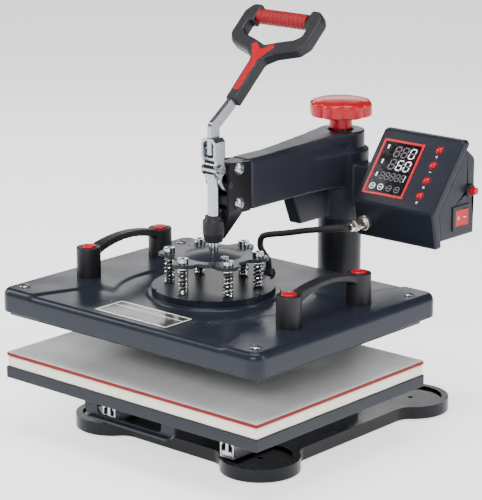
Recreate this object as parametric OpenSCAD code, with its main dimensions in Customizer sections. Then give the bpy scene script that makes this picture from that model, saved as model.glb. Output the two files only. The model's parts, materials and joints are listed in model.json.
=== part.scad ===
// Swing-away heat press, 290 x 380 mm platen, with slide-out lower platen.
// Millimetres. +Z is up, the operator stands at -Y, +X is the operator's right.
// The origin lies on the bench, under the middle of the machine's outline.
// The pieces are drawn with y = 0 at the platen centre, and piece() moves them back.

/* [Lower platen] */
// Width of both platens, left to right
platen_w = 380; // [300:1:420]
// Depth of both platens, front to back
platen_d = 290; // [230:1:300]
// Height of the working surface above the bench
pad_top = 97; // [90:1:110]
// Thickness of the soft foam layer
foam_t = 12.7; // [8:0.1:16]
// Thickness of the red silicone layer
mat_t = 3.8; // [2:0.1:6]
// Thickness of the woven top sheet
sheet_t = 0.5; // [0.3:0.1:1]
// Height of the folded edge of the steel tray
tray_skirt = 13.6; // [10:0.1:20]

/* [Upper platen] */
// Clear gap between pad and heating plate with the lever up
open_gap = 44.3; // [42:0.1:60]
// How far the painted cover stands out past the lower platen at the sides
cover_side = 4; // [0:0.5:8]
// How far the painted cover stands out past the lower platen at the front
cover_front = 5; // [0:0.5:8]
// How far the painted cover stands out past the lower platen at the back
cover_back = 19; // [0:0.5:22]
// Height of the painted cover
cover_h = 25; // [20:0.5:35]
// Corner radius of the cover
cover_r = 14; // [8:1:30]
// Radius of the round spring disc
disc_r = 70; // [60:1:80]
// Circle on which the six shoulder bolts stand
bolt_circle = 51; // [45:0.5:56]
// Sideways distance of the carrying handles from the middle
handle_x = 151; // [120:1:160]
// Distance between the two posts of a carrying handle
handle_span = 120; // [90:1:150]

/* [Column and arm] */
// Distance from platen centre to column axis
column_y = 226; // [210:1:240]
// Outer radius of the column
column_r = 26; // [20:0.5:27]
// Half width of the swinging arm
arm_half = 17; // [14:0.5:22]
// Underside of the arm above the bench
arm_bottom = 263; // [255:1:270]
// Outer radius of the pressure knob
knob_r = 37.5; // [28:0.5:40]

/* [Press mechanism] */
// Stroke of the plunger
stroke = 40; // [30:0.5:40]
// Swing of the lever over that stroke, degrees
lever_swing = 115; // [100:1:120]
// Height of the lever's lower pin above the bench, lever up
fulcrum_z = 316; // [312:0.5:318]
// Radius of the chromed plunger
plunger_r = 6.75; // [5:0.05:8]
// Lean of the lever's handle behind the vertical, degrees
lever_lean = 47.4; // [35:0.1:55]

/* [Control box] */
// Left side of the control box
box_x = 62; // [55:1:80]
// Width of the control box
box_w = 115; // [100:1:130]
// Radius of the push buttons
button_r = 5.2; // [4:0.1:7]

/* [Base] */
// Sideways distance of the base pads from the middle
foot_x = 112; // [100:1:130]
// Position of the front base pads
foot_front_y = -49; // [-70:1:-40]
// Radius of the round base pads
foot_r = 45; // [35:1:50]
// Thickness of the rubber feet showing below the base
rubber_h = 3; // [2:0.5:6]

/* [Hidden] */
$fn = 48;
eps = 0.01;
fit = 0.05;
foot_rear_y = column_y - 1;
base_top = 18;
boss_top = 26;
half_d = platen_d / 2;
centre_y = (foot_rear_y + foot_r - half_d - cover_front) / 2;

sheet_z = pad_top - sheet_t;
mat_z = sheet_z - mat_t;
tray_top = mat_z - foam_t;
tray_bottom = tray_top - tray_skirt;
tray_plate = 2;
rail_x = 90.5;
rail_front = -80;
rail_len = 220;
rail_z = base_top;
rail_h = 17;

heat_z = pad_top + open_gap;
heat_t = 10.7;
cover_z = heat_z + 5.7;
cover_top = cover_z + cover_h;
cover_wall = 2.5;
boss_r = 75.4;
disc_z = cover_top + 3;
disc_t = 7;
spring_len = 31;
screw_x = 174;
screw_y = [-128, 133];
handle_y = -handle_span * 0.4;
post_top = 209;
lead_end = [-6, 102];
plate_z = disc_z + disc_t + spring_len;
plate_t = 4;
shank_r = 3.2;
spring_r = 6.3;
bolt_head = 5.6;

column_top = 294;
cap_t = 6;
journal_r = 8;
washer_z = column_top + fit;
washer_t = 4;
thread_r = 9;
screw_z = washer_z + washer_t + fit;
sleeve_r = 34;
sleeve_bottom = 222;
collar_r = 28.5;
collar_z = 304;
arm_top_z = 325.5;
nut_z = 306;
nut_h = 10;
shoulder_z = nut_z + nut_h + 3;
knob_z = 327;
stem_r = 13.5;

anchor_y = 12.7;
anchor_r = 3.5;
anchor_z = fulcrum_z - stroke / 2;
pin_r = 4;
eye_half = 7.2;
cheek_in = 7.4;
cheek_out = 10.6;
guide_r = 12.2;
guide_neck_r = 9.75;
bracket_in = 11;
bracket_out = 15;
bracket_front = 10;
bracket_rear = 46;
ring_z = fulcrum_z + 22;
lever_bend_z = fulcrum_z + 48;
bar_half = 2.9;
bracket_bolt_y = 26;
bracket_bolt_z = [273.5, 314];
box_screw_z = [248, 278];
lug_top = 288;
grip_y = 36.4;
grip_z = fulcrum_z + 73.4;

// Control box side outline, in the Y-Z plane
panel_low = [171.4, 259];
panel_high = [230, 334];
panel_tilt = atan2(panel_high[1] - panel_low[1], panel_high[0] - panel_low[0]);
face_low = [180, 216];
bezel_outline = [
    face_low, panel_low, panel_high, [238, 335], [243, 330], [186, 257], [192, 216]
];
bezel_hollow = [
    [183.4, 219], [175.2, 258.2], [230.4, 328.8], [260, 328.8], [260, 219]
];
shell_outline = [
    [190.83, 224], [186, 257], [238, 323.6], [251, 313.5], [253.5, 309], [253.5, 223.5]
];
shell_hollow = [
    [180, 226.5], [180, 250], [237, 321], [249.5, 311.4], [250.9, 308], [250.9, 226.5]
];
side_x = box_x + box_w - 1.5;
rocker_y = 227.5;
rocker_pin_r = 1.3;
button_x = 87.3;
button_y = [79.9, 60.1, 40.3, 20.5];
plug_x = box_x + 19;
plug_z = 234.5;

// ---------- helpers ----------

// One coloured piece, moved from the platen's frame to the machine's frame
module piece(paint) {
    color(paint) translate([0, -centre_y, 0]) children();
}

// Rounded rectangle centred on the origin
module round_rect(w, d, r) {
    square([w - 2 * r, d], center = true);
    square([w, d - 2 * r], center = true);
    for (x = [-1, 1], y = [-1, 1]) {
        translate([x * (w / 2 - r), y * (d / 2 - r)]) circle(r);
    }
}

// Block centred in X and Y, standing on z = 0
module slab(w, d, h) {
    translate([-w / 2, -d / 2, 0]) cube([w, d, h]);
}

// Solid with a Y-Z outline, from x0 to x1
module side_solid(x0, x1) {
    translate([x0, 0, 0]) rotate([90, 0, 90]) linear_extrude(x1 - x0) children();
}

// Rod along X, centred on x = 0
module x_rod(r, len) {
    rotate([0, 90, 0]) cylinder(r = r, h = len, center = true);
}

// Places children in the frame of the sloping control panel
module on_panel() {
    translate([box_x, panel_low[0], panel_low[1]]) rotate([panel_tilt, 0, 0]) children();
}

// Places children in the frame of the leaning grip, local +Y running up the lever
module on_grip() {
    translate([0, grip_y, grip_z]) rotate([90 - lever_lean, 0, 0]) children();
}

// ---------- base and column ----------

module base_outline() {
    bar = 40;
    fillet = 22;
    offset(r = -fillet) offset(r = fillet) {
        for (x = [-1, 1], y = [foot_front_y, foot_rear_y]) {
            translate([x * foot_x, y]) circle(foot_r);
        }
        for (y = [foot_front_y, foot_rear_y]) {
            translate([-foot_x, y - bar / 2]) square([2 * foot_x, bar]);
        }
        for (s = [0, 1]) mirror([s, 0]) {
            translate([rail_x - bar / 4, foot_front_y]) {
                square([foot_x - rail_x + bar * 0.75, foot_rear_y - foot_front_y]);
            }
        }
        translate([0, column_y]) circle(42);
    }
}

module base_frame() {
    wall = 7;
    floor_z = 11;
    recess = 3;
    piece("DimGray") difference() {
        union() {
            translate([0, 0, rubber_h]) {
                linear_extrude(base_top - rubber_h) base_outline();
            }
            translate([0, column_y, rubber_h]) cylinder(r = 42, h = boss_top - rubber_h);
        }
        difference() {
            translate([0, 0, rubber_h - 1]) {
                linear_extrude(floor_z - rubber_h + 1) offset(delta = -wall) base_outline();
            }
            for (x = [-1, 1], y = [foot_front_y, foot_rear_y]) {
                translate([x * foot_x, y, 0]) cylinder(r = 17, h = floor_z + 1);
            }
            translate([0, column_y, 0]) cylinder(r = 36, h = floor_z + 1);
        }
        for (x = [-1, 1], y = [foot_front_y, foot_rear_y]) {
            translate([x * foot_x, y, base_top - recess]) cylinder(r = 37, h = recess + 1);
            translate([x * foot_x, y, 0]) cylinder(r = 3.3, h = base_top);
        }
        for (a = [45 : 90 : 315]) {
            translate([0, column_y, 0]) rotate(a) translate([33, 0, 0]) {
                cylinder(r = 3, h = boss_top + 1);
            }
        }
    }
}

module rubber_feet() {
    piece("Black") for (x = [-1, 1], y = [foot_front_y, foot_rear_y]) {
        translate([x * foot_x, y, 0]) difference() {
            cylinder(r = 16, h = rubber_h);
            translate([0, 0, -1]) cylinder(r = 3.3, h = rubber_h + 2);
        }
    }
}

module column_tube() {
    flange_h = 7;
    wall = 4;
    piece("DarkSlateGray") translate([0, column_y, 0]) difference() {
        union() {
            translate([0, 0, boss_top]) cylinder(r = 40, h = flange_h);
            translate([0, 0, boss_top]) cylinder(r = column_r, h = column_top - boss_top);
        }
        translate([0, 0, boss_top - 1]) {
            cylinder(r = column_r - wall, h = column_top - boss_top - cap_t + 1);
        }
        translate([0, 0, column_top - 20]) cylinder(r = journal_r + fit, h = 30);
        for (a = [45 : 90 : 315]) {
            rotate(a) translate([33, 0, boss_top - 1]) cylinder(r = 3, h = flange_h + 2);
        }
    }
}

module base_bolts() {
    head_z = boss_top + 7;
    piece("Silver") for (a = [45 : 90 : 315]) {
        translate([0, column_y, 0]) rotate(a) translate([33, 0, 0]) {
            translate([0, 0, 12]) cylinder(r = 3, h = head_z - 12);
            translate([0, 0, head_z]) cylinder(r = 5.5, h = 4.5, $fn = 6);
        }
    }
}

// ---------- drawer slides and lower platen ----------

module slide_rail(side) {
    wall = 2;
    lip = 4;
    piece("Silver") translate([side * rail_x, rail_front + rail_len / 2, rail_z]) difference() {
        slab(20, rail_len, rail_h);
        translate([0, 0, wall]) slab(20 - 2 * wall, rail_len + 2, rail_h - 2 * wall);
        translate([0, 0, wall]) slab(20 - 2 * lip, rail_len + 2, rail_h);
    }
}

module slide_runner(side) {
    top = tray_top - tray_plate;
    piece("Silver") translate([side * rail_x, rail_front + rail_len / 2, 0]) {
        translate([0, 0, rail_z + 3]) slab(14.6, rail_len, 5);
        translate([0, 0, rail_z + 7]) slab(4, rail_len, top - rail_z - 8);
        translate([0, 0, top - 2]) slab(26, rail_len, 2);
    }
}

module slide_rail_left() {
    slide_rail(-1);
}

module slide_rail_right() {
    slide_rail(1);
}

module slide_runner_left() {
    slide_runner(-1);
}

module slide_runner_right() {
    slide_runner(1);
}

module lower_tray() {
    piece("DimGray") difference() {
        translate([0, 0, tray_bottom]) slab(platen_w, platen_d, tray_skirt);
        translate([0, 0, tray_bottom - 1]) {
            slab(platen_w - 4, platen_d - 4, tray_skirt - tray_plate + 1);
        }
    }
}

module pull_handle() {
    bottom = 47;
    top = tray_top - tray_plate;
    width = 136;
    corner = 14;
    y0 = -half_d + 5;
    slot_z = 61.5;
    piece("DimGray") {
        translate([0, y0 + 3, 0]) rotate([90, 0, 0]) linear_extrude(3) difference() {
            union() {
                translate([-width / 2, bottom + corner]) {
                    square([width, top - bottom - corner]);
                }
                translate([-width / 2 + corner, bottom]) {
                    square([width - 2 * corner, top - bottom]);
                }
                for (x = [-1, 1]) {
                    translate([x * (width / 2 - corner), bottom + corner]) circle(corner);
                }
            }
            translate([0, slot_z]) round_rect(98, 16, 6);
        }
        translate([-width / 2, y0 + 2, top - 2]) cube([width, 20, 2]);
        translate([-60, y0 - 5, bottom + 1]) cube([120, 6, 2.5]);
    }
}

module foam_pad() {
    piece("Ivory") translate([0, 0, tray_top]) slab(platen_w - 1, platen_d - 1, foam_t);
}

module silicone_mat() {
    piece("Crimson") translate([0, 0, mat_z]) slab(platen_w, platen_d, mat_t);
}

module pad_top_sheet() {
    piece("LightGray") translate([0, 0, sheet_z]) {
        slab(platen_w - 1.5, platen_d - 1.5, sheet_t);
    }
}

// ---------- pressure screw ----------

module thrust_washer() {
    piece("Goldenrod") translate([0, column_y, washer_z]) difference() {
        cylinder(r = 22, h = washer_t);
        translate([0, 0, -1]) cylinder(r = journal_r + fit, h = washer_t + 2);
    }
}

module pressure_screw() {
    end_z = column_top - cap_t - 14;
    piece("Silver") translate([0, column_y, 0]) {
        translate([0, 0, end_z]) cylinder(r = journal_r, h = screw_z - end_z + 1);
        translate([0, 0, screw_z]) cylinder(r = 12, h = 2.5);
        translate([0, 0, screw_z + 1]) cylinder(r = thread_r, h = knob_z + 24 - screw_z);
    }
}

module screw_retaining_nut() {
    piece("Silver") translate([0, column_y, column_top - cap_t - 10 - fit]) difference() {
        cylinder(r = 14, h = 10, $fn = 6);
        translate([0, 0, -1]) cylinder(r = journal_r, h = 12);
    }
}

module pressure_knob() {
    lobes = 8;
    lobe_r = 18;
    head_z = 15;
    head_h = 15;
    piece("Crimson") translate([0, column_y, knob_z]) difference() {
        union() {
            cylinder(r = stem_r, h = head_z + 1);
            translate([0, 0, head_z - 2]) {
                cylinder(r1 = stem_r + 4, r2 = knob_r - 8, h = 4);
            }
            translate([0, 0, head_z]) linear_extrude(head_h) {
                circle(lobe_r);
                for (i = [0 : lobes - 1]) {
                    rotate((i + 0.5) * 360 / lobes) {
                        translate([knob_r - lobe_r, 0]) circle(lobe_r);
                    }
                }
            }
            translate([0, 0, head_z + head_h - 1]) {
                cylinder(r1 = knob_r - 3.5, r2 = knob_r - 12, h = 5.5);
            }
            translate([0, 0, head_z + head_h + 4]) {
                cylinder(r1 = knob_r - 13, r2 = 12, h = 2.5);
            }
        }
        translate([0, 0, -1]) cylinder(r = thread_r, h = 26);
    }
}

// ---------- arm ----------

// Half of the arm's plan, flaring out to meet the sleeve
module arm_plan(flare) {
    step = flare - arm_half;
    outer = [
        [arm_half, bracket_rear], [arm_half, 130], [arm_half + 0.15 * step, 155],
        [arm_half + 0.5 * step, 180], [flare, 208], [flare - 7, column_y]
    ];
    for (s = [0, 1]) mirror([s, 0]) {
        polygon(concat([[-1, bracket_rear]], outer, [[-1, column_y]]));
    }
}

// Top of the arm, which widens and climbs towards the collar
module arm_shoulder(front_z) {
    front_y = 90;
    flat_y = 195;
    intersection() {
        translate([0, 0, arm_bottom]) linear_extrude(arm_top_z) polygon([
            [-11, front_y], [11, front_y], [19, flat_y - 15], [25.5, column_y - 11],
            [25.5, column_y], [-25.5, column_y], [-25.5, column_y - 11], [-19, flat_y - 15]
        ]);
        side_solid(-arm_half - 10, arm_half + 10) polygon([
            [front_y, arm_bottom + 50], [front_y, front_z], [flat_y, arm_top_z],
            [column_y, arm_top_z], [column_y, arm_bottom + 50]
        ]);
    }
}

module arm_solid() {
    wall_top = 316.5;
    roof_top = 320.5;
    arm_shoulder(roof_top);
    translate([0, 0, arm_bottom]) linear_extrude(collar_z - 1 - arm_bottom) arm_plan(27);
    translate([0, 0, arm_bottom]) linear_extrude(wall_top - arm_bottom) arm_plan(22);
    translate([0, column_y, 0]) rotate([90, 0, 0]) {
        linear_extrude(column_y - bracket_rear) polygon([
            [-arm_half, wall_top - 1], [arm_half, wall_top - 1], [arm_half, wall_top],
            [arm_half - 5, roof_top], [5 - arm_half, roof_top], [-arm_half, wall_top]
        ]);
    }
    translate([0, column_y, sleeve_bottom]) {
        cylinder(r = sleeve_r, h = collar_z - sleeve_bottom);
    }
    translate([0, column_y, collar_z - 1]) {
        cylinder(r = collar_r, h = arm_top_z - collar_z + 1);
    }
    side_solid(-9, 9) {
        polygon([[127, 270], [127, 263], [142, 226], [200, 226], [200, 270]]);
    }
    side_solid(0.3 - bracket_in, bracket_in - 0.3) {
        polygon([[18, 268.3], [60, 268.3], [60, 319.6], [18, 319.6]]);
    }
    side_solid(20, box_x + 1.5) {
        polygon([[212, 238], [240, 238], [240, lug_top], [212, lug_top]]);
    }
}

module swing_arm() {
    piece("DarkSlateGray") difference() {
        arm_solid();
        translate([-12, 60, arm_bottom - 1]) cube([24, 62, 49]);
        side_solid(-12, 12) {
            polygon([[10, 281], [39, 281], [39, 309], [10, 309]]);
        }
        translate([0, column_y, sleeve_bottom - 1]) {
            cylinder(r = column_r + fit, h = nut_z - sleeve_bottom + 1);
        }
        translate([0, column_y, nut_z - 1]) cylinder(r = 15, h = nut_h + 1, $fn = 6);
        translate([0, column_y, nut_z]) cylinder(r = thread_r + 1.2, h = 40);
        translate([0, column_y, shoulder_z]) cylinder(r = stem_r + 0.9, h = 40);
        for (z = bracket_bolt_z) {
            translate([0, bracket_bolt_y, z]) x_rod(4, 40);
        }
        for (z = box_screw_z) {
            translate([box_x - 10, column_y, z]) rotate([0, 90, 0]) cylinder(r = 2.5, h = 30);
        }
    }
}

module arm_nut() {
    piece("Goldenrod") translate([0, column_y, nut_z]) difference() {
        cylinder(r = 15, h = nut_h, $fn = 6);
        translate([0, 0, -1]) cylinder(r = thread_r + fit, h = nut_h + 2);
    }
}

module guide_body() {
    translate([0, 0, 232]) cylinder(r1 = guide_r - 2, r2 = guide_r, h = 10);
    translate([0, 0, 242]) cylinder(r = guide_r, h = 14);
    translate([0, 0, 256]) cylinder(r1 = guide_r, r2 = guide_neck_r, h = 3);
    translate([0, 0, 259]) cylinder(r = guide_neck_r, h = 3);
}

module head_bracket() {
    top = 320;
    piece("Black") difference() {
        union() {
            for (s = [-1, 1]) {
                side_solid(s > 0 ? bracket_in : -bracket_out, s > 0 ? bracket_out : -bracket_in) {
                    polygon([
                        [bracket_front, 262], [bracket_rear, 262],
                        [bracket_rear, top - 1], [bracket_front + 4, top + 2],
                        [bracket_front, top]
                    ]);
                }
            }
            translate([-bracket_out, bracket_front - 1, 262]) {
                cube([2 * bracket_out, bracket_rear - bracket_front + 1, 6]);
            }
            hull() {
                translate([-bracket_out, bracket_front - 1, 261]) {
                    cube([2 * bracket_out, 22, 2]);
                }
                translate([-6, 3, 234]) cube([12, 9, 1]);
            }
        }
        guide_body();
        cylinder(r = guide_neck_r, h = 400);
        translate([0, anchor_y, anchor_z]) x_rod(anchor_r, 40);
        for (z = bracket_bolt_z) {
            translate([0, bracket_bolt_y, z]) x_rod(4, 40);
        }
    }
}

module plunger_guide() {
    piece("Black") difference() {
        guide_body();
        translate([0, 0, 230]) cylinder(r = plunger_r + fit, h = 40);
    }
}

module arm_bolts() {
    piece("Silver") {
        for (z = bracket_bolt_z) {
            translate([0, bracket_bolt_y, z]) x_rod(4, 2 * bracket_out);
            for (s = [-1, 1]) {
                translate([s * (bracket_out + 2), bracket_bolt_y, z]) x_rod(7.6, 4);
            }
        }
        for (z = box_screw_z) {
            translate([box_x - 8, column_y, z]) rotate([0, 90, 0]) {
                cylinder(r = 2.5, h = 15.1);
                translate([0, 0, 12.1]) cylinder(r = 5, h = 3);
            }
        }
    }
}

module anchor_pin() {
    piece("Black") translate([0, anchor_y, anchor_z]) x_rod(anchor_r, 2 * bracket_out);
}

// ---------- control box ----------

module control_box_front() {
    piece("DimGray") difference() {
        side_solid(box_x, box_x + box_w) polygon(bezel_outline);
        side_solid(box_x + 3, box_x + box_w - 3) polygon(bezel_hollow);
        on_panel() {
            translate([8.3, 11.5, -0.6]) cube([58, 71.5, 5]);
            for (y = button_y) {
                translate([button_x, y, -6]) cylinder(r = button_r + 2 * fit, h = 12);
            }
        }
        translate([plug_x, 190, plug_z]) rotate([90, 0, 0]) cylinder(r = 6, h = 30);
    }
}

module control_box_rear() {
    inset = 1.5;
    piece("DimGray") difference() {
        side_solid(box_x + inset, box_x + box_w - inset) polygon(shell_outline);
        side_solid(box_x + inset + 2.6, box_x + box_w - inset - 2.6) polygon(shell_hollow);
        translate([box_x + box_w - 8, 214.5, 235]) cube([12, 26, 22]);
        translate([box_x + box_w - 8, 244, 275]) rotate([0, 90, 0]) cylinder(r = 5, h = 12);
        for (z = box_screw_z) {
            translate([box_x, column_y, z]) rotate([0, 90, 0]) cylinder(r = 2.5, h = 8);
        }
        translate([box_x + 80, 245, 240]) rotate([-90, 0, 0]) cylinder(r = 6, h = 12);
    }
}

module display_window() {
    piece("Black") on_panel() translate([11.3, 14.5, -0.6]) cube([52, 65.5, 1]);
}

module display_frame() {
    piece("Crimson") on_panel() difference() {
        translate([8.3, 11.5, -0.6]) cube([58, 71.5, 1.4]);
        translate([11.3, 14.5, -2]) cube([52, 65.5, 5]);
    }
}

module panel_button(y) {
    piece("Crimson") on_panel() translate([button_x, y, 0]) {
        translate([0, 0, -4]) cylinder(r = button_r, h = 6.2);
        translate([0, 0, 2]) cylinder(r1 = button_r - 0.4, r2 = button_r - 1.4, h = 0.9);
        translate([0, 0, -5.2]) cylinder(r = button_r + 1.2, h = 1.4);
    }
}

module plus_button() {
    panel_button(button_y[0]);
}

module minus_button() {
    panel_button(button_y[1]);
}

module setup_button() {
    panel_button(button_y[2]);
}

module mode_button() {
    panel_button(button_y[3]);
}

module control_board() {
    piece("DarkGreen") on_panel() {
        translate([6, 8, -9]) cube([98, 76, 1.6]);
        for (x = [10, 100], y = [12, 80]) {
            translate([x, y, -8]) cylinder(r = 2.5, h = 4.5);
        }
    }
}

module rocker_frame() {
    piece("Black") difference() {
        union() {
            translate([side_x, rocker_y - 16, 232]) cube([1.6, 32, 28]);
            translate([side_x - 7, rocker_y - 13, 235]) cube([8, 26, 22]);
        }
        translate([side_x - 5.6, rocker_y - 11.5, 236.5]) cube([20, 23, 19]);
        translate([side_x, rocker_y, 235.8]) cylinder(r = rocker_pin_r + fit, h = 20.4);
    }
}

module rocker_switch() {
    half = 11.3;
    piece("Crimson") translate([side_x, rocker_y, 236.7]) rotate([0, 0, -5]) {
        linear_extrude(18.6) polygon([
            [-1.5, -half], [2.6, -half + 0.4], [1.4, 0], [2.6, half - 0.4],
            [-1.5, half], [-3.6, 4], [-4.2, 0], [-3.6, -4]
        ]);
        translate([0, 0, -0.7]) cylinder(r = rocker_pin_r, h = 20);
    }
}

module fuse_holder() {
    piece("Black") translate([side_x, 244, 275]) rotate([0, 90, 0]) {
        cylinder(r = 7.6, h = 3.5);
        translate([0, 0, -6]) cylinder(r = 5, h = 7);
        translate([0, 0, 3]) cylinder(r = 4.2, h = 7.5);
    }
}

module mains_inlet() {
    piece("Black") translate([box_x + 80, 253.5, 240]) rotate([-90, 0, 0]) difference() {
        union() {
            cylinder(r = 9, h = 4);
            translate([0, 0, 3]) cylinder(r1 = 7.5, r2 = 6, h = 11);
            translate([0, 0, -5]) cylinder(r = 6, h = 6);
        }
        translate([0, 0, -6]) cylinder(r = 3.8, h = 30);
    }
}

// ---------- heater lead ----------

module lead_connector() {
    y0 = 176.4;
    piece("Silver") translate([plug_x, y0, plug_z]) rotate([90, 0, 0]) {
        translate([0, 0, -3]) cylinder(r = 6, h = 6);
        translate([0, 0, 1.8]) cylinder(r = 8.5, h = 7.2);
        translate([0, 0, 8]) cylinder(r = 6, h = 12);
        translate([0, 0, 19]) cylinder(r = 6.4, h = 9);
        translate([0, 0, 27]) cylinder(r1 = 5.6, r2 = 4.8, h = 8);
    }
}

module heater_lead() {
    route = [
        [plug_x, 137.7, plug_z], [plug_x - 3, 129, plug_z + 1], [66, 118, plug_z],
        [45, 109, 231], [20, 103, 225], [-6, 100, 219], [-15, 100, 214],
        [-17, 100, 205], [-14, 101, 197], [lead_end[0] - 2, lead_end[1], 190],
        [lead_end[0], lead_end[1], 185], [lead_end[0], lead_end[1], cover_top - 3]
    ];
    piece("Black") for (i = [0 : len(route) - 2]) {
        hull() {
            translate(route[i]) sphere(r = 3.6, $fn = 12);
            translate(route[i + 1]) sphere(r = 3.6, $fn = 12);
        }
    }
}

module cable_gland() {
    piece("Black") translate([lead_end[0], lead_end[1], cover_top]) difference() {
        cylinder(r1 = 8.5, r2 = 6.5, h = 6);
        translate([0, 0, -1]) cylinder(r = 4.2, h = 9);
    }
}

// ---------- plunger and lever ----------

module plunger_shaft() {
    neck_z = 226;
    piece("Silver") difference() {
        union() {
            translate([0, 0, plate_z - 6]) cylinder(r = 5.2, h = neck_z - plate_z + 7);
            translate([0, 0, neck_z]) cylinder(r = plunger_r, h = fulcrum_z - 9 - neck_z);
            side_solid(-eye_half, eye_half) {
                translate([0, fulcrum_z]) circle(8.6);
                translate([-6.4, fulcrum_z - 10]) square([12.8, 8]);
            }
        }
        translate([0, 0, fulcrum_z]) x_rod(pin_r + fit, 40);
    }
}

module pressure_plate() {
    dome_r = 33;
    piece("Gray") translate([0, 0, plate_z]) difference() {
        union() {
            linear_extrude(plate_t) offset(r = -6) offset(r = 6) {
                circle(46);
                for (a = [30 : 60 : 330]) {
                    rotate(a) translate([bolt_circle, 0]) circle(12);
                }
            }
            translate([0, 0, plate_t - eps]) cylinder(r1 = dome_r, r2 = 22, h = 3);
            translate([0, 0, plate_t + 2.9]) cylinder(r1 = 22.3, r2 = 9, h = 2.4);
            translate([24, -8, plate_t]) cylinder(r = 5, h = 3.4);
        }
        translate([0, 0, -1]) cylinder(r = 5.2, h = 20);
        for (a = [30 : 60 : 330]) {
            rotate(a) translate([bolt_circle, 0, -1]) cylinder(r = shank_r + 2 * fit, h = 10);
        }
    }
}

module plate_nut() {
    piece("Silver") translate([0, 0, plate_z - 8]) difference() {
        cylinder(r = 10, h = 8, $fn = 6);
        translate([0, 0, -1]) cylinder(r = 5.2, h = 10);
    }
}

// Path of the anchor pin as seen from the swinging lever fork
function cam_point(t) = let (
    a = t * lever_swing,
    z = t * stroke - stroke / 2
) [anchor_y * cos(a) + z * sin(a), z * cos(a) - anchor_y * sin(a)];

module cam_shape(r) {
    steps = 16;
    hull() {
        for (i = [0 : steps]) {
            translate(cam_point(i / steps)) circle(r);
        }
    }
}

module octagon(half_x, half_z, cut) {
    polygon([
        [-half_x, cut - half_z], [cut - half_x, -half_z], [half_x - cut, -half_z],
        [half_x, cut - half_z], [half_x, half_z - cut], [half_x - cut, half_z],
        [cut - half_x, half_z], [-half_x, half_z - cut]
    ]);
}

module lever_fork() {
    depth = 16.6;
    piece("Silver") difference() {
        union() {
            translate([0, depth / 2, ring_z]) rotate([90, 0, 0]) {
                linear_extrude(depth) difference() {
                    octagon(cheek_out, 13, 4);
                    octagon(cheek_out - 3, 10, 3);
                }
            }
            for (s = [0, 1]) mirror([s, 0, 0]) side_solid(cheek_in, cheek_out) {
                translate([0, fulcrum_z]) {
                    circle(8.8);
                    cam_shape(anchor_r + 3.9);
                    hull() {
                        circle(5);
                        translate(cam_point(0)) circle(5);
                    }
                    translate([-6.5, 0]) square([13, ring_z - fulcrum_z]);
                }
            }
        }
        side_solid(-20, 20) translate([0, fulcrum_z]) cam_shape(anchor_r + 0.2);
        translate([0, 0, fulcrum_z]) x_rod(pin_r, 40);
        translate([0, 0.5, ring_z]) x_rod(3, 40);
        translate([-bar_half, -6.5, ring_z]) cube([2 * bar_half, 14, 30]);
        translate([-cheek_in, -20, fulcrum_z]) cube([2 * cheek_in, 17, ring_z - fulcrum_z - 9]);
    }
}

module lever_bar() {
    width = 14;
    lean_width = 12.5;
    tang = 8;
    root = [0.5, lever_bend_z];
    lean = [grip_y, grip_z] - root;
    piece("Silver") difference() {
        union() {
            side_solid(-bar_half, bar_half) {
                translate([-6.5, ring_z - 6]) square([width, lever_bend_z - ring_z + 6]);
                translate(root) circle(6.6);
                translate(root) rotate(atan2(lean[1], lean[0])) {
                    translate([0, -lean_width / 2]) square([norm(lean) - 6.5, lean_width]);
                }
            }
            on_grip() translate([-bar_half, -8, -tang / 2]) cube([2 * bar_half, 38, tang]);
        }
        translate([0, 0.5, ring_z]) x_rod(3, 20);
    }
}

module fork_pin() {
    piece("Silver") translate([0, 0.5, ring_z]) x_rod(3, 2 * cheek_out);
}

module fulcrum_pin() {
    piece("Silver") translate([0, 0, fulcrum_z]) {
        x_rod(pin_r, 2 * cheek_out);
        for (s = [-1, 1]) {
            translate([s * (cheek_out + 1.5), 0, 0]) x_rod(5.4, 3);
        }
    }
}

// Outline of the grip frame: stem, spreading arms and cross bar ends
module grip_outline() {
    offset(r = 4) offset(r = -4) difference() {
        polygon([
            [-7.6, -5], [7.6, -5], [8, 54], [20, 63], [48, 72], [57, 84], [57, 118],
            [49, 129], [-49, 129], [-57, 118], [-57, 84], [-48, 72], [-20, 63], [-8, 54]
        ]);
        polygon([
            [0, 74], [16, 80], [36, 86], [43, 92], [43, 106], [-43, 106], [-43, 92],
            [-36, 86], [-16, 80]
        ]);
    }
}

module inlay_outline() {
    polygon([
        [-4, 8], [4, 8], [4.5, 52], [17, 72], [12, 76], [0, 66], [-12, 76],
        [-17, 72], [-4.5, 52]
    ]);
}

module grip_frame() {
    thick = 14.4;
    bar_y = 116.5;
    piece("Black") on_grip() difference() {
        union() {
            difference() {
                translate([0, 0, -thick / 2]) linear_extrude(thick) grip_outline();
                translate([-36, bar_y - 11, -10]) cube([72, 30, 20]);
            }
            translate([0, bar_y, 0]) x_rod(6, 80);
        }
        translate([-bar_half, -10, -4]) cube([2 * bar_half, 41, 8]);
        translate([0, 0, thick / 2 - 1]) linear_extrude(3) inlay_outline();
    }
}

module grip_sleeve() {
    piece("Crimson") on_grip() translate([0, 116.5, 0]) difference() {
        x_rod(9.2, 72);
        x_rod(6, 80);
    }
}

module grip_inlay() {
    piece("Crimson") on_grip() translate([0, 0, 6.2]) linear_extrude(1.5) inlay_outline();
}

// ---------- upper platen ----------

module platen_disc() {
    piece("DimGray") translate([0, 0, disc_z]) difference() {
        cylinder(r = disc_r, h = disc_t);
        for (a = [0 : 60 : 300]) {
            rotate(a) translate([disc_r + 1, 0, disc_t - 3]) cylinder(r = 4, h = 4);
            rotate(a + 30) translate([bolt_circle, 0, 2]) cylinder(r = shank_r, h = 10);
        }
    }
}

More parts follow.
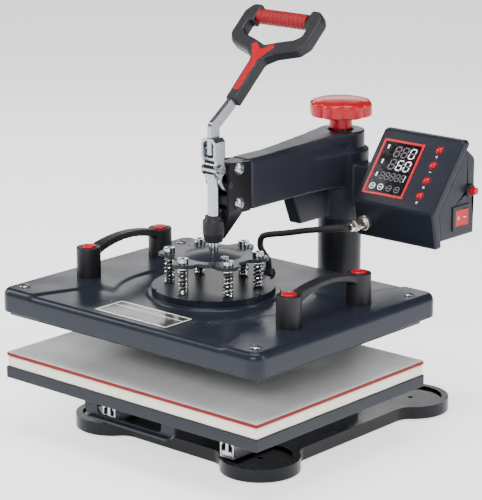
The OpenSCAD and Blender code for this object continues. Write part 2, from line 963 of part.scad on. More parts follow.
module shoulder_bolts() {
    piece("Silver") for (a = [30 : 60 : 330]) {
        rotate(a) translate([bolt_circle, 0, 0]) {
            translate([0, 0, disc_z + 2]) {
                cylinder(r = shank_r, h = plate_z + plate_t + bolt_head - disc_z - 3);
            }
            translate([0, 0, plate_z + plate_t + fit]) cylinder(r = 6.3, h = bolt_head);
        }
    }
}

module springs() {
    piece("Silver") for (a = [30 : 60 : 330]) {
        rotate(a) translate([bolt_circle, 0, disc_z + disc_t]) difference() {
            cylinder(r = spring_r, h = spring_len);
            translate([0, 0, -1]) cylinder(r = spring_r - 1.6, h = spring_len + 2);
        }
    }
}

module upper_cover() {
    w = platen_w + 2 * cover_side;
    d = platen_d + cover_front + cover_back;
    mid_y = (cover_back - cover_front) / 2;
    edge = 4;
    piece("DimGray") difference() {
        union() {
            translate([0, mid_y, cover_z]) {
                linear_extrude(cover_h - edge) round_rect(w, d, cover_r);
            }
            translate([0, mid_y, 0]) hull() {
                translate([0, 0, cover_top - edge - eps]) {
                    linear_extrude(eps) round_rect(w, d, cover_r);
                }
                translate([0, 0, cover_top - eps]) {
                    linear_extrude(eps) round_rect(w - 2 * edge, d - 2 * edge, cover_r - edge);
                }
            }
            translate([0, 0, cover_top - eps]) cylinder(r = boss_r, h = 3 + eps);
        }
        translate([0, mid_y, cover_z - 1]) {
            slab(w - 2 * edge, d - 2 * edge, cover_h - cover_wall - 1.5);
        }
        for (x = [-1, 1], y = screw_y) {
            translate([x * screw_x, y, cover_top - 10]) cylinder(r = 2.5, h = 20);
        }
        for (x = [-1, 1]) {
            hull() {
                translate([x * 142, -150, cover_top - 1.6]) cylinder(r = 8, h = 5, $fn = 24);
                translate([x * 112, -98, cover_top - 0.2]) cylinder(r = 5, h = 5, $fn = 24);
            }
        }
        translate([lead_end[0], lead_end[1], cover_top - 10]) cylinder(r = 4.2, h = 20);
    }
}

module cover_screws() {
    piece("Silver") for (x = [-1, 1], y = screw_y) {
        translate([x * screw_x, y, 0]) {
            translate([0, 0, heat_z + 3]) cylinder(r = 2.5, h = cover_top - heat_z - 2);
            translate([0, 0, cover_top]) cylinder(r1 = 6.2, r2 = 4.6, h = 2.6);
        }
    }
}

module insulation_board() {
    piece("Wheat") translate([0, 0, heat_z + heat_t]) difference() {
        slab(platen_w - 16, platen_d - 12, 8);
        for (x = [-1, 1], y = screw_y) {
            translate([x * screw_x, y, -1]) cylinder(r = 3, h = 12);
        }
    }
}

module heating_plate() {
    piece("Black") translate([0, 0, heat_z]) difference() {
        slab(platen_w - 8, platen_d - 10, heat_t);
        for (x = [-1, 1], y = screw_y) {
            translate([x * screw_x, y, 3]) cylinder(r = 2.5, h = 12);
        }
    }
}

// Height of the carrying handle's arch over its posts, t running from post to post
function arch(t) = pow(sin(180 * t), 0.8);

module carry_handle(side) {
    post_r = 14;
    post_gap = 11;
    low = post_top - 0.5;
    rise = 7;
    steps = 12;
    ts = [for (i = [0 : steps]) i / steps];
    over = [for (t = ts) [post_gap + t * (handle_span - 2 * post_gap), low + rise * arch(t)]];
    under = [for (t = ts) [over[0][0] + (1 - t) * (handle_span - 2 * post_gap),
        low - 10 + (rise + 3) * arch(t)]];
    piece("Black") translate([side * handle_x, handle_y, 0]) {
        for (y = [0, handle_span]) {
            translate([0, y, cover_top]) cylinder(r = post_r, h = post_top - cover_top);
        }
        side_solid(-7, 7) {
            polygon(concat(
                [[0, low - 10], [0, low]], over, [[handle_span, low], [handle_span, low - 10]],
                under
            ));
        }
    }
}

module carry_handle_left() {
    carry_handle(-1);
}

module carry_handle_right() {
    carry_handle(1);
}

module handle_caps() {
    piece("Crimson") for (s = [-1, 1], y = [0, handle_span]) {
        translate([s * handle_x, handle_y + y, post_top]) {
            cylinder(r1 = 8.8, r2 = 7.8, h = 2);
        }
    }
}

module front_label() {
    piece("Black") translate([-1, -114, cover_top]) slab(108, 44, 0.4);
}

base_frame();
rubber_feet();
column_tube();
base_bolts();
slide_rail_left();
slide_rail_right();
slide_runner_left();
slide_runner_right();
lower_tray();
pull_handle();
foam_pad();
silicone_mat();
pad_top_sheet();
thrust_washer();
pressure_screw();
pressure_knob();
screw_retaining_nut();
swing_arm();
arm_nut();
head_bracket();
plunger_guide();
arm_bolts();
anchor_pin();
control_box_front();
control_box_rear();
display_window();
display_frame();
control_board();
rocker_frame();
rocker_switch();
fuse_holder();
mains_inlet();
plus_button();
minus_button();
setup_button();
mode_button();
lead_connector();
heater_lead();
cable_gland();
plunger_shaft();
pressure_plate();
plate_nut();
lever_fork();
lever_bar();
fork_pin();
fulcrum_pin();
grip_frame();
grip_sleeve();
grip_inlay();
platen_disc();
shoulder_bolts();
springs();
upper_cover();
cover_screws();
insulation_board();
heating_plate();
carry_handle_left();
carry_handle_right();
handle_caps();
front_label();
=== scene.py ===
"""Looks of a swing-away heat press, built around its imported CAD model."""

import json
import math

import bmesh
import bpy
from mathutils import Matrix, Vector

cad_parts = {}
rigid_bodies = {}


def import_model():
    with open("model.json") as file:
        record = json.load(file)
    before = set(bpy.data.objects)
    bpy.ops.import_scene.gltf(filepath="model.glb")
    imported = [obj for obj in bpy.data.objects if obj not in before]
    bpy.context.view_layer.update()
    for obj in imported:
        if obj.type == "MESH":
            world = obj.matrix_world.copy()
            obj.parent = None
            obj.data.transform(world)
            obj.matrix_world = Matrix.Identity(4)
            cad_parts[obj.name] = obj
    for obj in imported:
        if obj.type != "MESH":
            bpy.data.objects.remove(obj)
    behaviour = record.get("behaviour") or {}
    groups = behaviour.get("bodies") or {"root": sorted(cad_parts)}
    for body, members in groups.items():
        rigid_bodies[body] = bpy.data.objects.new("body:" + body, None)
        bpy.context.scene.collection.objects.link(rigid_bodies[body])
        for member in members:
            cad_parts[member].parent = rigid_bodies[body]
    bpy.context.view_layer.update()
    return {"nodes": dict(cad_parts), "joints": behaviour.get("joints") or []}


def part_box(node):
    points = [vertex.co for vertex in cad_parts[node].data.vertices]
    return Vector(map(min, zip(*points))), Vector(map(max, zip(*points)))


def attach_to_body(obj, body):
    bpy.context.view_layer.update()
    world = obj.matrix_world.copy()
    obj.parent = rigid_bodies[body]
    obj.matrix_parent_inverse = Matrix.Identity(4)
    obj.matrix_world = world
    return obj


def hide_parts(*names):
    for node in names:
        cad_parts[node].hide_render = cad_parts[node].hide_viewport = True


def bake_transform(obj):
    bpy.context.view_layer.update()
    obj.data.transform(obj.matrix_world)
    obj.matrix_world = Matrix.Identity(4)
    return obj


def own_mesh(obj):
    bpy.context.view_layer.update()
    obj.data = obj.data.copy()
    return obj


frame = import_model()

MM = 0.001
JOINTS = {joint["name"]: joint for joint in frame["joints"]}
PLATE_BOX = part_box("heating_plate")
MIDDLE_Y = (PLATE_BOX[0].y + PLATE_BOX[1].y) / 2 / MM


def in_mm(point):
    """A row frame point in millimetres, with y measured from the platen centre."""
    return Vector((point.x / MM, point.y / MM - MIDDLE_Y, point.z / MM))


def ends(node):
    """A node's lowest and highest corners at rest."""
    return [in_mm(corner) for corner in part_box(node)]


def low(node):
    return ends(node)[0]


def high(node):
    return ends(node)[1]


def centre(node):
    return (low(node) + high(node)) / 2


def in_row(point):
    """The reverse of in_mm."""
    return Vector((point[0], point[1] + MIDDLE_Y, point[2])) * MM


def into_scene(name, data):
    obj = bpy.data.objects.new(name, data)
    bpy.context.scene.collection.objects.link(obj)
    return obj


# ---------- camera, floor and light ----------


def add_camera():
    target = in_row((41, 0, 229.2))
    azimuth, elevation = math.radians(41.3), math.radians(15.05)
    distance = 2.41
    data = bpy.data.cameras.new("camera")
    data.lens = 156.2
    data.sensor_width = 36
    camera = into_scene("camera", data)
    back = Vector((
        math.sin(azimuth) * math.cos(elevation),
        -math.cos(azimuth) * math.cos(elevation),
        math.sin(elevation),
    ))
    camera.location = target + back * distance
    camera.rotation_euler = (-back).to_track_quat("-Z", "Y").to_euler()
    bpy.context.scene.camera = camera


def add_light(name, place, aim, size, power):
    data = bpy.data.lights.new(name, "AREA")
    data.shape = "RECTANGLE"
    data.size, data.size_y = size
    data.energy = power
    light = into_scene(name, data)
    light.location = place
    light.rotation_euler = (Vector(aim) - Vector(place)).to_track_quat("-Z", "Y").to_euler()


def add_studio():
    """Dark room for what the object mirrors, and a pale one behind it for the camera."""
    world = bpy.data.worlds.new("studio")
    world.use_nodes = True
    tree = world.node_tree
    room = tree.nodes["Background"]
    room.inputs["Color"].default_value = (0.9, 0.93, 1.0, 1)
    room.inputs["Strength"].default_value = 0.05
    backdrop = tree.nodes.new("ShaderNodeBackground")
    backdrop.inputs["Color"].default_value = (1, 1, 1, 1)
    backdrop.inputs["Strength"].default_value = 1.45
    choice = tree.nodes.new("ShaderNodeMixShader")
    seen = tree.nodes.new("ShaderNodeLightPath").outputs["Is Camera Ray"]
    tree.links.new(seen, choice.inputs[0])
    tree.links.new(room.outputs[0], choice.inputs[1])
    tree.links.new(backdrop.outputs[0], choice.inputs[2])
    tree.links.new(choice.outputs[0], tree.nodes["World Output"].inputs["Surface"])
    bpy.context.scene.world = world
    aim = (0, 0, 0.2)
    add_light("top_softbox", (0.1, -0.2, 2.1), aim, (1.5, 0.9), 40)
    add_light("left_softbox", (-1.7, -0.7, 1.2), aim, (0.5, 1.4), 26)
    add_light("front_softbox", (0.9, -2.0, 1.3), aim, (1.3, 0.6), 38)
    add_light("right_strip", (1.7, 0.6, 0.8), aim, (0.25, 1.3), 16)
    add_light("back_strip", (-1.3, 1.5, 0.8), aim, (1.0, 0.25), 4)


def add_floor():
    """Lit white paper, wide enough to reach the backdrop in low views."""
    paper = Finish("floor_paper", (0.93, 0.93, 0.94), 0.7, Emission_Strength=1.4)
    paper.set("Emission Color", (1, 1, 1, 1))
    paper.tint(paper.noise(90), (0.92, 0.92, 0.93), (0.95, 0.95, 0.955))
    half = 40
    mesh = bpy.data.meshes.new("floor")
    corners = [(-half, -half, 0), (half, -half, 0), (half, half, 0), (-half, half, 0)]
    mesh.from_pydata(corners, [], [(0, 1, 2, 3)])
    mesh.materials.append(paper.material)
    into_scene("floor", mesh)


# ---------- materials ----------


class Finish:
    """A procedural material. Sizes are millimetres on the object."""

    def __init__(self, name, colour, roughness, metallic=0.0, **sockets):
        self.material = bpy.data.materials.new(name)
        self.material.use_nodes = True
        self.tree = self.material.node_tree
        self.shader = self.tree.nodes["Principled BSDF"]
        self.set("Base Color", (*colour, 1))
        self.set("Roughness", roughness)
        self.set("Metallic", metallic)
        for socket, value in sockets.items():
            self.set(socket.replace("_", " "), value)
        self.place = self.node("TexCoord", "Object")
        self.relief = None

    def set(self, socket, value):
        self.shader.inputs[socket].default_value = value

    def link(self, source, target):
        self.tree.links.new(source, target)

    def node(self, kind, output, **values):
        """An output of a new node, whose inputs are given as values or as sockets to link."""
        node = self.tree.nodes.new("ShaderNode" + kind)
        for name, value in values.items():
            target = node.inputs[name.replace("_", " ")]
            if isinstance(value, bpy.types.NodeSocket):
                self.link(value, target)
            else:
                target.default_value = value
        return node.outputs[output]

    def noise(self, size, stretch=None, detail=3.0):
        place = self.place
        if stretch:
            place = self.node("Mapping", "Vector", Vector=place, Scale=stretch)
        return self.node("TexNoise", "Fac", Vector=place, Scale=1 / (size * MM), Detail=detail)

    def cells(self, size):
        return self.node("TexVoronoi", "Distance", Vector=self.place, Scale=1 / (size * MM))

    def stripes(self, pitch, direction):
        scale = math.tau / 20 / (pitch * MM)
        bands = self.node(
            "TexWave", "Fac", Vector=self.place, Scale=scale, Distortion=0.35, Detail=1
        )
        bands.node.bands_direction = direction
        return bands

    def combine(self, a, b, operation="ADD"):
        value = self.node("Math", "Value")
        value.node.operation = operation
        self.link(a, value.node.inputs[0])
        self.link(b, value.node.inputs[1])
        return value

    def spread(self, source, low_in, high_in, low_out, high_out):
        return self.node(
            "MapRange", "Result", Value=source,
            From_Min=low_in, From_Max=high_in, To_Min=low_out, To_Max=high_out,
        )

    def mix(self, source, light):
        """Base colour that runs to light with source; returns the socket it runs from."""
        node = self.tree.nodes.new("ShaderNodeMix")
        node.data_type = "RGBA"
        node.inputs[7].default_value = (*light, 1)
        self.link(source, node.inputs["Factor"])
        self.link(node.outputs[2], self.shader.inputs["Base Color"])
        return node.inputs[6]

    def tint(self, source, dark, light):
        """Colour that runs from dark to light with source."""
        start = self.mix(source, light)
        start.default_value = (*dark, 1)
        self.colour = start.node.outputs[2]

    def wear(self, amount, colour):
        """Edges rubbed towards colour."""
        edge = self.node("NewGeometry", "Pointiness")
        grain = self.noise(2.2, detail=5)
        rubbed = self.combine(self.spread(edge, 0.51, 0.6, 0, amount), grain, "MULTIPLY")
        self.link(self.colour, self.mix(rubbed, colour))

    def gloss(self, source, low_value, high_value):
        result = self.spread(source, 0.3, 0.7, low_value, high_value)
        self.link(result, self.shader.inputs["Roughness"])

    def bump(self, source, depth, strength=1.0):
        below = {"Normal": self.relief} if self.relief else {}
        self.relief = self.node(
            "Bump", "Normal", Height=source, Strength=strength, Distance=depth * MM, **below
        )
        self.link(self.relief, self.shader.inputs["Normal"])


def shaded(colour, factor):
    return tuple(min(1.0, c * factor) for c in colour)


def powder_coat(name, colour, roughness=0.42, peel=0.05):
    """Satin baked paint: orange peel, faint mottling and slightly rubbed edges."""
    finish = Finish(name, colour, roughness, Specular_IOR_Level=0.22)
    finish.tint(finish.noise(2.4, detail=4), shaded(colour, 0.9), shaded(colour, 1.1))
    finish.wear(0.5, shaded(colour, 2.6))
    finish.gloss(finish.noise(45, detail=2), roughness - 0.03, roughness + 0.03)
    finish.bump(finish.noise(1.3, detail=2), peel)
    return finish.material


def moulded(name, colour, roughness=0.5, grain=0.03, coat=0.0):
    """Injection moulded plastic with a fine spark texture."""
    finish = Finish(
        name, colour, roughness, Specular_IOR_Level=0.36, Coat_Weight=coat, Coat_Roughness=0.12
    )
    finish.tint(finish.noise(3, detail=3), shaded(colour, 0.93), shaded(colour, 1.07))
    finish.wear(0.3, shaded(colour, 1.9))
    finish.gloss(finish.noise(14, detail=4), roughness - 0.04, roughness + 0.05)
    finish.bump(finish.cells(0.5), grain)
    return finish.material


def metal(name, colour, roughness, grain=(1, 1, 1), depth=0.012):
    """Bare or plated metal. grain stretches the brush marks."""
    finish = Finish(name, colour, roughness, metallic=1.0)
    marks = finish.noise(0.7, stretch=grain, detail=4)
    finish.tint(finish.noise(7, detail=4), shaded(colour, 0.82), shaded(colour, 1.06))
    finish.gloss(marks, max(0.04, roughness - 0.1), roughness + 0.1)
    finish.bump(marks, depth)
    return finish.material


def rubber(name, colour, roughness=0.72):
    finish = Finish(name, colour, roughness, Sheen_Weight=0.03, Specular_IOR_Level=0.3)
    finish.tint(finish.noise(6, detail=5), shaded(colour, 0.8), shaded(colour, 1.2))
    finish.gloss(finish.noise(1.5), roughness - 0.08, roughness + 0.08)
    finish.bump(finish.noise(0.6, detail=4), 0.06)
    return finish.material


def sponge(name, colour):
    """Open-cell silicone sponge seen on its cut edge."""
    finish = Finish(name, colour, 0.85, Sheen_Weight=0.1, Subsurface_Weight=0.08)
    pores = finish.cells(1.1)
    finish.tint(finish.combine(pores, finish.noise(9)), shaded(colour, 0.82), colour)
    finish.bump(pores, 0.35, 0.7)
    finish.bump(finish.noise(4, detail=3), 0.25, 0.5)
    return finish.material


def woven(name, colour):
    """Fine plain-weave coated glass cloth."""
    finish = Finish(name, colour, 0.42, Sheen_Weight=0.1, Coat_Weight=0.25, Coat_Roughness=0.35)
    threads = finish.combine(finish.stripes(1.5, "X"), finish.stripes(1.5, "Y"), "MULTIPLY")
    mottled = finish.combine(threads, finish.spread(finish.noise(20), 0.3, 0.7, -0.15, 0.25))
    finish.tint(mottled, shaded(colour, 0.8), shaded(colour, 1.12))
    finish.bump(threads, 0.12, 0.8)
    return finish.material


def film(name, colour, roughness=0.3):
    """Printed plastic film."""
    finish = Finish(name, colour, roughness, Coat_Weight=0.4, Coat_Roughness=0.1)
    finish.tint(finish.noise(3, detail=5), shaded(colour, 0.85), shaded(colour, 1.1))
    finish.gloss(finish.noise(7), roughness - 0.05, roughness + 0.08)
    return finish.material


def lit_print(name, colour, strength):
    """Lit segment behind a display window."""
    finish = Finish(name, colour, 0.4, Emission_Strength=strength)
    finish.set("Emission Color", (*colour, 1))
    finish.tint(finish.noise(2), shaded(colour, 0.86), colour)
    return finish.material


# ---------- mesh helpers ----------


def smoothstep(value):
    t = min(1.0, max(0.0, value))
    return t * t * (3 - 2 * t)


def new_object(name, verts, faces, matrix=Matrix()):
    """Mesh object from points in millimetres, placed by matrix and then in the row frame."""
    mesh = bpy.data.meshes.new(name)
    mesh.from_pydata([in_row(matrix @ Vector(v)) for v in verts], [], faces)
    shape = bmesh.new()
    shape.from_mesh(mesh)
    bmesh.ops.remove_doubles(shape, verts=shape.verts, dist=1e-6)
    bmesh.ops.recalc_face_normals(shape, faces=shape.faces)
    shape.to_mesh(mesh)
    shape.free()
    return into_scene(name, mesh)


def skin(rings, closed_along=False, capped=True):
    """Vertices and faces through rings of equally many points."""
    count = len(rings[0])
    verts = [tuple(p) for ring in rings for p in ring]
    faces = []
    last = len(rings) if closed_along else len(rings) - 1
    for i in range(last):
        a, b = i * count, (i + 1) % len(rings) * count
        for k in range(count):
            m = (k + 1) % count
            faces.append((a + k, a + m, b + m, b + k))
    if capped and not closed_along:
        faces.append(tuple(range(count)))
        faces.append(tuple(range(len(verts) - count, len(verts))))
    return verts, faces


def arc(x, y, radius, turns):
    """Points round (x, y), each at its part of a turn."""
    return [
        (x + radius * math.cos(math.tau * t), y + radius * math.sin(math.tau * t)) for t in turns
    ]


def disc_outline(x, y, radius, steps=16):
    return arc(x, y, radius, [k / steps for k in range(steps)])


def ring_outline(x, y, radius, width, steps=20):
    """A ring as a C-shaped outline that all but closes."""
    turns = [0.997 * k / steps for k in range(steps + 1)]
    return arc(x, y, radius, turns) + arc(x, y, radius - width, turns[::-1])


def prism(name, outline, bottom, top, matrix):
    rings = [[(x, y, z) for x, y in outline] for z in (bottom, top)]
    return new_object(name, *skin(rings), matrix)


def lathe(name, profile, matrix=Matrix(), steps=48, shape=None, ring=False):
    """Turned solid about local Z from a profile of (radius, z); shape may alter a radius,
    and ring joins the profile's ends, for a part with a hole."""
    rings = []
    for radius, z in profile:
        points = []
        for k in range(steps):
            angle = math.tau * k / steps
            r = shape(angle, radius, z) if shape else radius
            points.append((r * math.cos(angle), r * math.sin(angle), z))
        rings.append(points)
    verts, faces = skin(rings, closed_along=ring)
    return new_object(name, verts, faces, matrix)


def rod(name, radius, bottom, top, matrix, steps=24):
    profile = [(0, bottom), (radius, bottom), (radius, top), (0, top)]
    return lathe(name, profile, matrix, steps)


def fillet(points, radius=0, steps=5):
    """Outline with its corners rounded; a third number in a point is its own radius."""
    rounded = []
    for i, corner in enumerate(points):
        own = corner[2] if len(corner) > 2 else radius
        p = Vector(corner[:2])
        a = Vector(points[i - 1][:2]) - p
        b = Vector(points[(i + 1) % len(points)][:2]) - p
        angle = a.angle(b)
        if own <= 0 or math.pi - angle < 0.03:
            rounded.append((p.x, p.y))
            continue
        reach = min(own / math.tan(angle / 2), 0.49 * a.length, 0.49 * b.length)
        own = reach * math.tan(angle / 2)
        hub = p + (a.normalized() + b.normalized()).normalized() * own / math.sin(angle / 2)
        start = p + a.normalized() * reach - hub
        end = p + b.normalized() * reach - hub
        for k in range(steps + 1):
            spoke = start.lerp(end, k / steps).normalized() * own
            rounded.append((hub.x + spoke.x, hub.y + spoke.y))
    return rounded


def mirrored(right, middle):
    """Outline from its right half, going up, and the point between the halves at the top."""
    left = [(-x, y, radius) for x, y, radius in reversed(right)]
    return [left[-1], *right, middle, *left[:-1]]


def plate(name, outline, bottom, top, edge, matrix=Matrix(), edge_steps=3):
    """Flat piece with rounded rims, local z from bottom to top."""
    curve = bpy.data.curves.new(name, "CURVE")
    curve.dimensions = "2D"
    curve.fill_mode = "BOTH"
    curve.extrude = (top - bottom) / 2 - edge
    curve.bevel_depth = edge
    curve.bevel_resolution = edge_steps
    curve.offset = -edge
    spline = curve.splines.new("POLY")
    spline.points.add(len(outline) - 1)
    for point, (x, y) in zip(spline.points, outline):
        point.co = (x, y, 0, 1)
    spline.use_cyclic_u = True
    source = into_scene(name + ".curve", curve)
    bpy.context.view_layer.update()
    shape = source.evaluated_get(bpy.context.evaluated_depsgraph_get()).to_mesh()
    lift = (top + bottom) / 2
    verts = [(v.co.x, v.co.y, v.co.z + lift) for v in shape.vertices]
    faces = [tuple(p.vertices) for p in shape.polygons]
    bpy.data.objects.remove(source)
    return new_object(name, verts, faces, matrix)


def flat_node(name, node, corner, edge):
    """Plate with rounded corners that fills a node's box."""
    lo, hi = ends(node)
    outline = fillet([(lo.x, lo.y), (hi.x, lo.y), (hi.x, hi.y), (lo.x, hi.y)], corner)
    return plate(name, outline, lo.z, hi.z, edge)


def tube_rings(path, radius, sides):
    """Rings round a path of points; radius(i, angle) gives the size."""
    points = [Vector(p) for p in path]
    rings = []
    side = None
    for i, p in enumerate(points):
        ahead = points[min(i + 1, len(points) - 1)]
        behind = points[max(i - 1, 0)]
        along = (ahead - behind).normalized()
        if side is None:
            side = along.orthogonal().normalized()
        side = (side - along * side.dot(along)).normalized()
        other = along.cross(side)
        ring = []
        for k in range(sides):
            angle = math.tau * k / sides
            r = radius(i, angle)
            ring.append(p + side * r * math.cos(angle) + other * r * math.sin(angle))
        rings.append(ring)
    return rings


def smooth_path(points, spacing):
    """Catmull-Rom curve through points, cut into steps of about spacing."""
    knots = [Vector(p) for p in points]
    knots = [2 * knots[0] - knots[1], *knots, 2 * knots[-1] - knots[-2]]
    fine = []
    for i in range(1, len(knots) - 2):
        p0, p1, p2, p3 = knots[i - 1 : i + 3]
        steps = max(2, round((p2 - p1).length / spacing))
        for k in range(steps):
            t = k / steps
            fine.append(
                0.5 * (2 * p1 + (p2 - p0) * t + (2 * p0 - 5 * p1 + 4 * p2 - p3) * t * t
                       + (3 * p1 - p0 - 3 * p2 + p3) * t ** 3)
            )
    fine.append(knots[-2])
    return fine


def join(name, parts):
    """One object from several, whose materials stay apart."""
    for o in bpy.context.view_layer.objects:
        o.select_set(o in parts)
    bpy.context.view_layer.objects.active = parts[0]
    bpy.ops.object.join()
    parts[0].name = name
    parts[0].data.name = name
    return parts[0]


def paint(obj, material):
    obj.data.materials.clear()
    obj.data.materials.append(material)
    return obj


def soften(obj, width):
    """Rounds the sharp edges by width millimetres and shades the faces to match."""
    sharp = math.radians(32)
    obj.data.shade_smooth()
    if width:
        bevel = obj.modifiers.new("rounding", "BEVEL")
        bevel.width = width * MM
        bevel.segments = 2
        bevel.limit_method = "ANGLE"
        bevel.angle_limit = sharp
    else:
        obj.data.set_sharp_from_angle(angle=sharp)
    obj.modifiers.new("shading", "WEIGHTED_NORMAL").keep_sharp = True


def attach(obj, body, node=None):
    """Body of a piece, and the CAD node that it stands for."""
    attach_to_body(obj, body)
    if node:
        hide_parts(node)


def place(obj, body, slot, node, painted=False):
    """Finishes a new piece; one made of several materials is painted already."""
    if not painted:
        paint(obj, looks[slot])
    soften(obj, 0)
    attach(obj, body, node)


def drop_normals(mesh):
    """Clears imported normals, so that the modifiers' shading shows."""
    stored = mesh.attributes.get("custom_normal")
    if stored:
        mesh.attributes.remove(stored)


def dress(node, slot, edge):
    """Keeps a CAD node, with a material and rounded edges."""
    obj = frame["nodes"][node]
    drop_normals(obj.data)
    paint(obj, looks[slot])
    obj.modifiers.new("weld", "WELD").merge_threshold = 2e-6
    soften(obj, edge)


def apply_modifiers(obj):
    bpy.context.view_layer.update()
    shape = bpy.data.meshes.new_from_object(
        obj.evaluated_get(bpy.context.evaluated_depsgraph_get())
    )
    obj.modifiers.clear()
    obj.data = shape


def cast(name, node, body, slot, voxel, passes):
    """A CAD node's shape as a casting, with every edge and inner corner flowing."""
    obj = into_scene(name, frame["nodes"][node].data.copy())
    drop_normals(obj.data)
    remesh = obj.modifiers.new("remesh", "REMESH")
    remesh.mode = "VOXEL"
    remesh.voxel_size = voxel * MM
    smooth = obj.modifiers.new("smooth", "SMOOTH")
    smooth.iterations = passes
    smooth.factor = 0.5
    apply_modifiers(obj)
    paint(obj, looks[slot])
    obj.data.shade_smooth()
    attach(obj, body, node)


def cut(obj, cutter):
    """Removes cutter's shape from obj."""
    boolean = obj.modifiers.new("cut", "BOOLEAN")
    boolean.operation = "DIFFERENCE"
    boolean.object = cutter
    apply_modifiers(obj)
    bpy.data.objects.remove(cutter)
    return obj


def cross_cutter(span, width, bottom, top, matrix):
    """Cross-shaped prism for a Phillips recess."""
    a, b = span / 2, width / 2
    outline = [
        (-b, -a), (b, -a), (b, -b), (a, -b), (a, b), (b, b),
        (b, a), (-b, a), (-b, b), (-a, b), (-a, -b), (-b, -b),
    ]
    return prism("cutter", outline, bottom, top, matrix)


def hex_cutter(radius, bottom, top, matrix):
    return prism("cutter", disc_outline(0, 0, radius, 6), bottom, top, matrix)


def dome_head(name, radius, height, matrix):
    """Domed screw head standing on local z = 0 with a cross recess."""
    profile = [(0, -0.4), (radius, -0.4), (radius, 0.18 * height)]
    steps = 7
    for k in range(1, steps + 1):
        t = math.pi / 2 * k / steps
        profile.append((radius * math.cos(t), (0.18 + 0.82 * math.sin(t)) * height))
    head = lathe(name, profile, matrix, steps=36)
    tool = cross_cutter(radius * 1.15, radius * 0.27, height * 0.35, height * 2, matrix)
    return cut(head, tool)


def shift(x, y, z):
    return Matrix.Translation((x, y, z))


def turn(axis, degrees):
    return Matrix.Rotation(math.radians(degrees), 4, axis)


# ---------- finishes, one for each material slot of the record ----------

BLACK = (0.011, 0.011, 0.014)
RED = (0.43, 0.001, 0.009)

FINISHES = {
    # slot: kind of finish, colour, then that kind's own values
    "cast_paint": (powder_coat, (0.004, 0.005, 0.008), 0.27, 0.05),
    "arm_paint": (powder_coat, (0.019, 0.021, 0.031), 0.36, 0.04),
    "column_paint": (powder_coat, (0.007, 0.008, 0.012), 0.36),
    "black_paint": (powder_coat, (0.006, 0.006, 0.009), 0.3),
    "cover_paint": (powder_coat, (0.014, 0.017, 0.026), 0.3, 0.03),
    "tray_paint": (powder_coat, (0.012, 0.014, 0.020), 0.4),
    "plate_paint": (powder_coat, (0.016, 0.019, 0.028), 0.3, 0.02),
    "plate_paint_dark": (powder_coat, (0.012, 0.014, 0.020), 0.33, 0.02),
    "box_plastic": (powder_coat, (0.013, 0.015, 0.023), 0.32, 0.05),
    "black_plastic": (moulded, BLACK, 0.45),
    "red_plastic": (moulded, RED, 0.3, 0.015, 0.1),
    "red_print": (film, (0.6, 0.001, 0.014)),
    "red_rubber": (rubber, (0.26, 0.001, 0.006), 0.55),
    "red_silicone": (rubber, (0.21, 0.001, 0.003), 0.6),
    "foot_rubber": (rubber, (0.015, 0.015, 0.015)),
    "lead_rubber": (rubber, (0.012, 0.012, 0.013), 0.6),
    "foam": (sponge, (0.9, 0.86, 0.7)),
    "woven_sheet": (woven, (0.95, 0.97, 0.96)),
    "zinc_steel": (metal, (0.46, 0.48, 0.52), 0.27),
    "slide_steel": (metal, (0.6, 0.61, 0.63), 0.34, (1, 0.05, 1)),
    "spring_steel": (metal, (0.72, 0.73, 0.75), 0.2),
    "chromed_steel": (metal, (0.40, 0.41, 0.44), 0.14, (1, 1, 1), 0.003),
    "nickel": (metal, (0.7, 0.66, 0.58), 0.26),
    "bronze": (metal, (0.6, 0.42, 0.2), 0.35),
    "dark_pin": (metal, (0.06, 0.06, 0.065), 0.35),
    "black_coated_aluminium": (powder_coat, (0.012, 0.012, 0.013), 0.5),
    "board": (film, (0.02, 0.12, 0.035), 0.4),
    "board_fibre": (rubber, (0.6, 0.54, 0.42), 0.85),
    "display_glass": (film, (0.006, 0.006, 0.008), 0.12),
    "label_film": (film, (0.012, 0.012, 0.014), 0.4),
}
looks = {name: make(name, *values) for name, (make, *values) in FINISHES.items()}
white_print = film("white_print", (0.93, 0.93, 0.93), 0.45)
grey_print = film("grey_print", (0.2, 0.2, 0.21), 0.5)
lit_white = lit_print("lit_white", (0.9, 0.93, 1.0), 0.55)
unlit_segment = film("unlit_segment", (0.16, 0.16, 0.17), 0.4)

add_camera()
add_studio()
add_floor()

# ---------- CAD pieces whose shape is final ----------

CAD_PIECES = {
    # material slot: its nodes, each with an edge radius in mm
    "cast_paint": {"base_frame": 1.6},
    "foot_rubber": {"rubber_feet": 0.6},
    "column_paint": {"column_tube": 0.8},
    "zinc_steel": {
        "base_bolts": 0.5, "pressure_screw": 0.3, "screw_retaining_nut": 0.4,
        "plate_nut": 0.4, "lever_fork": 0.7, "lever_bar": 0.8, "fork_pin": 0.4,
    },
    "slide_steel": {
        "slide_rail_left": 0.3, "slide_rail_right": 0.3, "slide_runner_left": 0.3,
        "slide_runner_right": 0.3,
    },
    "tray_paint": {"lower_tray": 0.7, "pull_handle": 0.7},
    "bronze": {"thrust_washer": 0.3, "arm_nut": 0.4},
    "black_paint": {"head_bracket": 0.9},
    "black_plastic": {
        "plunger_guide": 0.5, "rocker_frame": 0.5, "mains_inlet": 0.5, "cable_gland": 0.6,
    },
    "dark_pin": {"anchor_pin": 0.5},
    "box_plastic": {"control_box_rear": 1.6},
    "display_glass": {"display_window": 0.2},
    "red_print": {"display_frame": 0.2},
    "board": {"control_board": 0.1},
    "red_plastic": {"rocker_switch": 0.6},
    "chromed_steel": {"plunger_shaft": 0.4, "fulcrum_pin": 0.8},
    "plate_paint_dark": {"platen_disc": 0.9},
    "board_fibre": {"insulation_board": 0.5},
    "black_coated_aluminium": {"heating_plate": 0.8},
}
